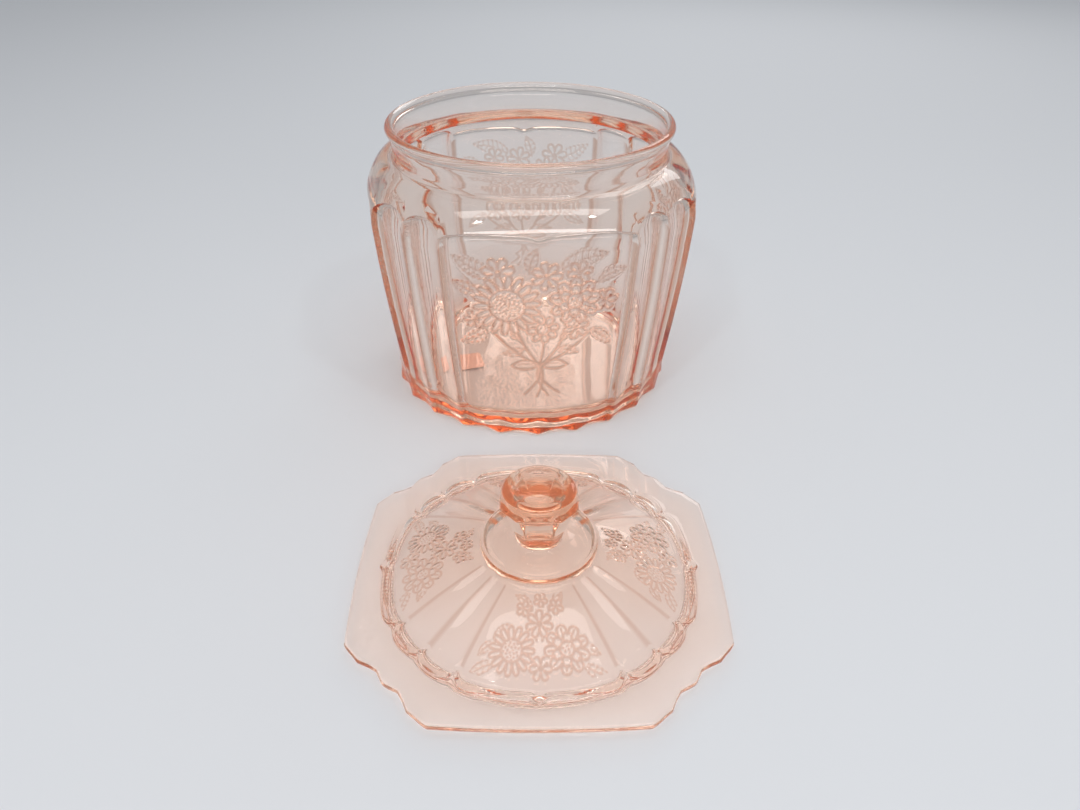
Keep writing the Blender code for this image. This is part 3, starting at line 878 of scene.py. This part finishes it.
def glass_skin(name, blocks, start_height, end_height, place, turn):
    """One closed skin over blocks of rings, as an object."""
    points = []
    faces = []
    marks = []
    total = 0
    rings = []
    for angles, radii, heights, moulded in blocks:
        turns = np.radians(angles + turn)
        corners = np.stack([radii * np.cos(turns), radii * np.sin(turns), heights], -1)
        points.append(corners.reshape(-1, 3))
        marks.append(moulded.ravel())
        index = total + np.arange(radii.size).reshape(radii.shape)
        total += radii.size
        after = np.roll(index, -1, axis=1)
        quads = np.stack([index[:-1], after[:-1], after[1:], index[1:]], -1).reshape(-1, 4)
        if rings:
            faces += bridge(rings[-1][-1], rings[-1][0], index[0], angles)
        faces += quads.tolist()
        rings.append((angles, index[0], index[-1]))
    points.append(np.array([[0.0, 0.0, start_height], [0.0, 0.0, end_height]]))
    marks.append(np.zeros(2))
    first = rings[0][1]
    last = rings[-1][2]
    faces += [(total, after, here) for here, after in zip(first, np.roll(first, -1))]
    faces += [(here, after, total + 1) for here, after in zip(last, np.roll(last, -1))]
    mesh = bpy.data.meshes.new(name)
    faces = [[int(corner) for corner in face] for face in faces]
    mesh.from_pydata(np.concatenate(points).tolist(), [], faces)
    mesh.attributes.new("moulded", "FLOAT", "POINT")
    mesh.attributes["moulded"].data.foreach_set("value", np.concatenate(marks))
    mesh.shade_smooth()
    piece = bpy.data.objects.new(name, mesh)
    bpy.context.scene.collection.objects.link(piece)
    piece.location = (place.x, place.y, 0.0)
    return piece


def paper_label():
    """Thin flat paper tag with rounded corners."""
    low = LABEL_LOW.z
    high = LABEL_HIGH.z
    centre = 0.5 * (LABEL_LOW + LABEL_HIGH)
    insets = [(0.0, 0.5 * (low + high)), (LABEL_EDGE, high)]
    insets += [(inset, high) for inset in LABEL_INSETS]
    rings = []
    for inset, height in insets:
        ring = []
        for quarter, (sign_x, sign_y) in enumerate(((1, 1), (-1, 1), (-1, -1), (1, -1))):
            for step in range(LABEL_CORNER_STEPS + 1):
                turn = math.radians(90.0 * quarter + 90.0 / LABEL_CORNER_STEPS * step)
                x = sign_x * (0.5 * LABEL_SIZE[0] - LABEL_CORNER) + LABEL_CORNER * math.cos(turn)
                y = sign_y * (0.5 * LABEL_SIZE[1] - LABEL_CORNER) + LABEL_CORNER * math.sin(turn)
                shrink_x = 1.0 - 2.0 * inset / LABEL_SIZE[0]
                shrink_y = 1.0 - 2.0 * inset / LABEL_SIZE[1]
                ring.append((x * shrink_x, y * shrink_y, height - centre.z))
        rings.append(ring)
    count = len(rings[0])
    under = [[(x, y, low - centre.z) for x, y, _ in ring] for ring in rings[:0:-1]]
    rings = under + rings
    points = [point for ring in rings for point in ring]
    faces = []
    for row in range(len(rings) - 1):
        for column in range(count):
            after = (column + 1) % count
            base = row * count
            faces.append((base + column, base + after, base + count + after, base + count + column))
    faces.append(tuple(range(count))[::-1])
    faces.append(tuple(range(len(points) - count, len(points))))
    mesh = bpy.data.meshes.new("label_paper")
    mesh.from_pydata(points, [], faces)
    mesh.shade_smooth()
    mesh.set_sharp_from_angle(angle=math.radians(LABEL_CREASE))
    piece = bpy.data.objects.new("label_paper", mesh)
    bpy.context.scene.collection.objects.link(piece)
    piece.matrix_world = Matrix.Translation(centre) @ Matrix.Rotation(math.radians(LABEL_TURN), 4, "Z")
    return piece


# ---- Materials -------------------------------------------------------------------------


def new_material(name):
    """Material with its node tree, its Principled shader and its output."""
    material = bpy.data.materials.new(name)
    material.use_nodes = True
    tree = material.node_tree
    return material, tree, tree.nodes["Principled BSDF"], tree.nodes["Material Output"]


def noise(tree, coordinates, scale, detail):
    """Noise over the object's own coordinates."""
    node = tree.nodes.new("ShaderNodeTexNoise")
    node.inputs["Scale"].default_value = scale
    node.inputs["Detail"].default_value = detail
    tree.links.new(coordinates, node.inputs["Vector"])
    return node.outputs["Fac"]


def ramp(tree, value, low, high, start, end):
    """Value from low to high as its input goes from start to end."""
    node = tree.nodes.new("ShaderNodeMapRange")
    node.inputs["From Min"].default_value = start
    node.inputs["From Max"].default_value = end
    node.inputs["To Min"].default_value = low
    node.inputs["To Max"].default_value = high
    tree.links.new(value, node.inputs["Value"])
    return node.outputs["Result"]


def mix_colours(tree, factor, first, second):
    """Colour between two by a factor, the first of them a value or another node's output."""
    node = tree.nodes.new("ShaderNodeMix")
    node.data_type = "RGBA"
    if isinstance(first, tuple):
        node.inputs["A"].default_value = first
    else:
        tree.links.new(first, node.inputs["A"])
    node.inputs["B"].default_value = second
    tree.links.new(factor, node.inputs["Factor"])
    return node.outputs["Result"]


def add_bump(tree, shader, height, strength, distance):
    """Fine waviness in the shading of a surface."""
    node = tree.nodes.new("ShaderNodeBump")
    node.inputs["Strength"].default_value = strength
    node.inputs["Distance"].default_value = distance
    tree.links.new(height, node.inputs["Height"])
    tree.links.new(node.outputs["Normal"], shader.inputs["Normal"])


def pressed_glass(name):
    """Pale pink fire-polished glass, faintly wavy, amber where it is thick.

    Its surface carries painted shade, a deeper tint along the moulded lines and a brown one
    along the ribs, is a little frosted on the highest lines, and lamps shine partly through it.
    """
    material, tree, shader, output = new_material(name)
    place = tree.nodes.new("ShaderNodeTexCoord").outputs["Object"]
    moulded = tree.nodes.new("ShaderNodeAttribute")
    moulded.attribute_name = "moulded"
    mark = moulded.outputs["Fac"]

    shader.inputs["Transmission Weight"].default_value = 1.0
    shader.inputs["IOR"].default_value = GLASS_INDEX
    tint = mix_colours(tree, noise(tree, place, 45.0, 3.0), *GLASS_TINTS)
    # Painted shade: a deeper tint along the moulded lines, standing in for the dark seen through their
    # relief.
    tint = mix_colours(tree, ramp(tree, mark, 0.0, 1.0, 0.05, 0.45), tint, LINE_PAINTED_SHADE)
    # Painted shade: a brown tint along the ribs, standing in for the dark seen through them.
    tint = mix_colours(tree, ramp(tree, mark, 1.0, 0.0, -1.0, -0.05), tint, RIB_PAINTED_SHADE)
    tree.links.new(tint, shader.inputs["Base Color"])
    rough = tree.nodes.new("ShaderNodeMath")
    rough.operation = "ADD"
    tree.links.new(ramp(tree, noise(tree, place, 160.0, 4.0), 0.0, 0.05, 0.35, 0.8), rough.inputs[0])
    tree.links.new(ramp(tree, mark, 0.0, 0.10, 0.5, 0.9), rough.inputs[1])
    tree.links.new(rough.outputs[0], shader.inputs["Roughness"])
    add_bump(tree, shader, noise(tree, place, 38.0, 1.0), 0.5, 0.0004)

    rays = tree.nodes.new("ShaderNodeLightPath")
    clear = tree.nodes.new("ShaderNodeBsdfTransparent")
    clear.inputs["Color"].default_value = LAMP_TINT
    mixed = tree.nodes.new("ShaderNodeMixShader")
    tree.links.new(rays.outputs["Is Shadow Ray"], mixed.inputs["Fac"])
    tree.links.new(shader.outputs["BSDF"], mixed.inputs[1])
    tree.links.new(clear.outputs["BSDF"], mixed.inputs[2])
    tree.links.new(mixed.outputs["Shader"], output.inputs["Surface"])
    depth = tree.nodes.new("ShaderNodeVolumeAbsorption")
    depth.inputs["Color"].default_value = DEPTH_COLOUR
    depth.inputs["Density"].default_value = DEPTH_DENSITY
    tree.links.new(depth.outputs["Volume"], output.inputs["Volume"])
    return material


def label_paper():
    """Salmon paper with fibres and a little soiling."""
    material, tree, shader, _ = new_material("paper")
    place = tree.nodes.new("ShaderNodeTexCoord").outputs["Object"]
    tint = mix_colours(tree, noise(tree, place, 260.0, 5.0), *PAPER_TINTS)
    tree.links.new(tint, shader.inputs["Base Color"])
    shader.inputs["Roughness"].default_value = 0.8
    add_bump(tree, shader, noise(tree, place, 2200.0, 3.0), 0.4, 0.0001)
    return material


# ---- Stage -----------------------------------------------------------------------------


def floor():
    """Large pale floor just under the set."""
    mesh = bpy.data.meshes.new("floor")
    signs = ((-1.0, -1.0), (1.0, -1.0), (1.0, 1.0), (-1.0, 1.0))
    corners = [(x * FLOOR_REACH, y * FLOOR_REACH, -FLOOR_DROP) for x, y in signs]
    mesh.from_pydata(corners, [], [(0, 1, 2, 3)])
    piece = bpy.data.objects.new("floor", mesh)
    bpy.context.scene.collection.objects.link(piece)
    material, _, shader, _ = new_material("floor")
    shader.inputs["Base Color"].default_value = FLOOR_COLOUR
    shader.inputs["Roughness"].default_value = 0.9
    mesh.materials.append(material)


def softbox(name, place, size, power):
    """Rectangular studio light that faces the set."""
    light = bpy.data.lights.new(name, "AREA")
    light.shape = "RECTANGLE"
    light.size, light.size_y = size
    light.energy = power
    piece = bpy.data.objects.new(name, light)
    bpy.context.scene.collection.objects.link(piece)
    piece.location = place
    way = Vector(LAMP_AIM) - piece.location
    piece.rotation_euler = way.to_track_quat("-Z", "Y").to_euler()


def studio():
    """Soft light from above, in front and behind, two small sparkling lamps, and a dim pale room."""
    world = bpy.data.worlds.new("studio")
    world.use_nodes = True
    background = world.node_tree.nodes["Background"]
    background.inputs["Color"].default_value = ROOM_COLOUR
    background.inputs["Strength"].default_value = ROOM_STRENGTH
    scene = bpy.context.scene
    scene.world = world
    scene.view_settings.view_transform = "Standard"
    scene.cycles.max_bounces = BOUNCES
    scene.cycles.transmission_bounces = BOUNCES
    scene.cycles.glossy_bounces = BOUNCES
    for lamp in LAMPS:
        softbox(*lamp)


def camera():
    """Camera above the lid, looking down at the jar."""
    data = bpy.data.cameras.new("camera")
    data.lens = CAMERA_LENS
    data.sensor_width = SENSOR_WIDTH
    data.clip_start = CLIP_START
    piece = bpy.data.objects.new("camera", data)
    bpy.context.scene.collection.objects.link(piece)
    yaw = Matrix.Rotation(math.radians(-CAMERA_YAW), 4, "Z")
    pitch = Matrix.Rotation(math.radians(90.0 - CAMERA_PITCH), 4, "X")
    roll = Matrix.Rotation(math.radians(CAMERA_ROLL), 4, "Z")
    piece.matrix_world = Matrix.Translation(CAMERA_PLACE) @ yaw @ pitch @ roll
    bpy.context.scene.camera = piece


# ---- The set ---------------------------------------------------------------------------

camera()
studio()
floor()

jar = glass_skin("jar_skin", jar_blocks(), RECESS_DEPTH, FLOOR, JAR_AXIS, 0.0)
jar.data.materials.append(pressed_glass("jar_glass"))
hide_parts("jar")
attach(jar, "jar")

lid = glass_skin("lid_skin", lid_blocks(), APEX_UNDER, DIMPLE_FLOOR, LID_AXIS, LID_TURN)
lid.data.materials.append(pressed_glass("lid_glass"))
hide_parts("lid")
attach(lid, "lid")

label = paper_label()
label.data.materials.append(label_paper())
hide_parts("price_label")
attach(label, "jar")
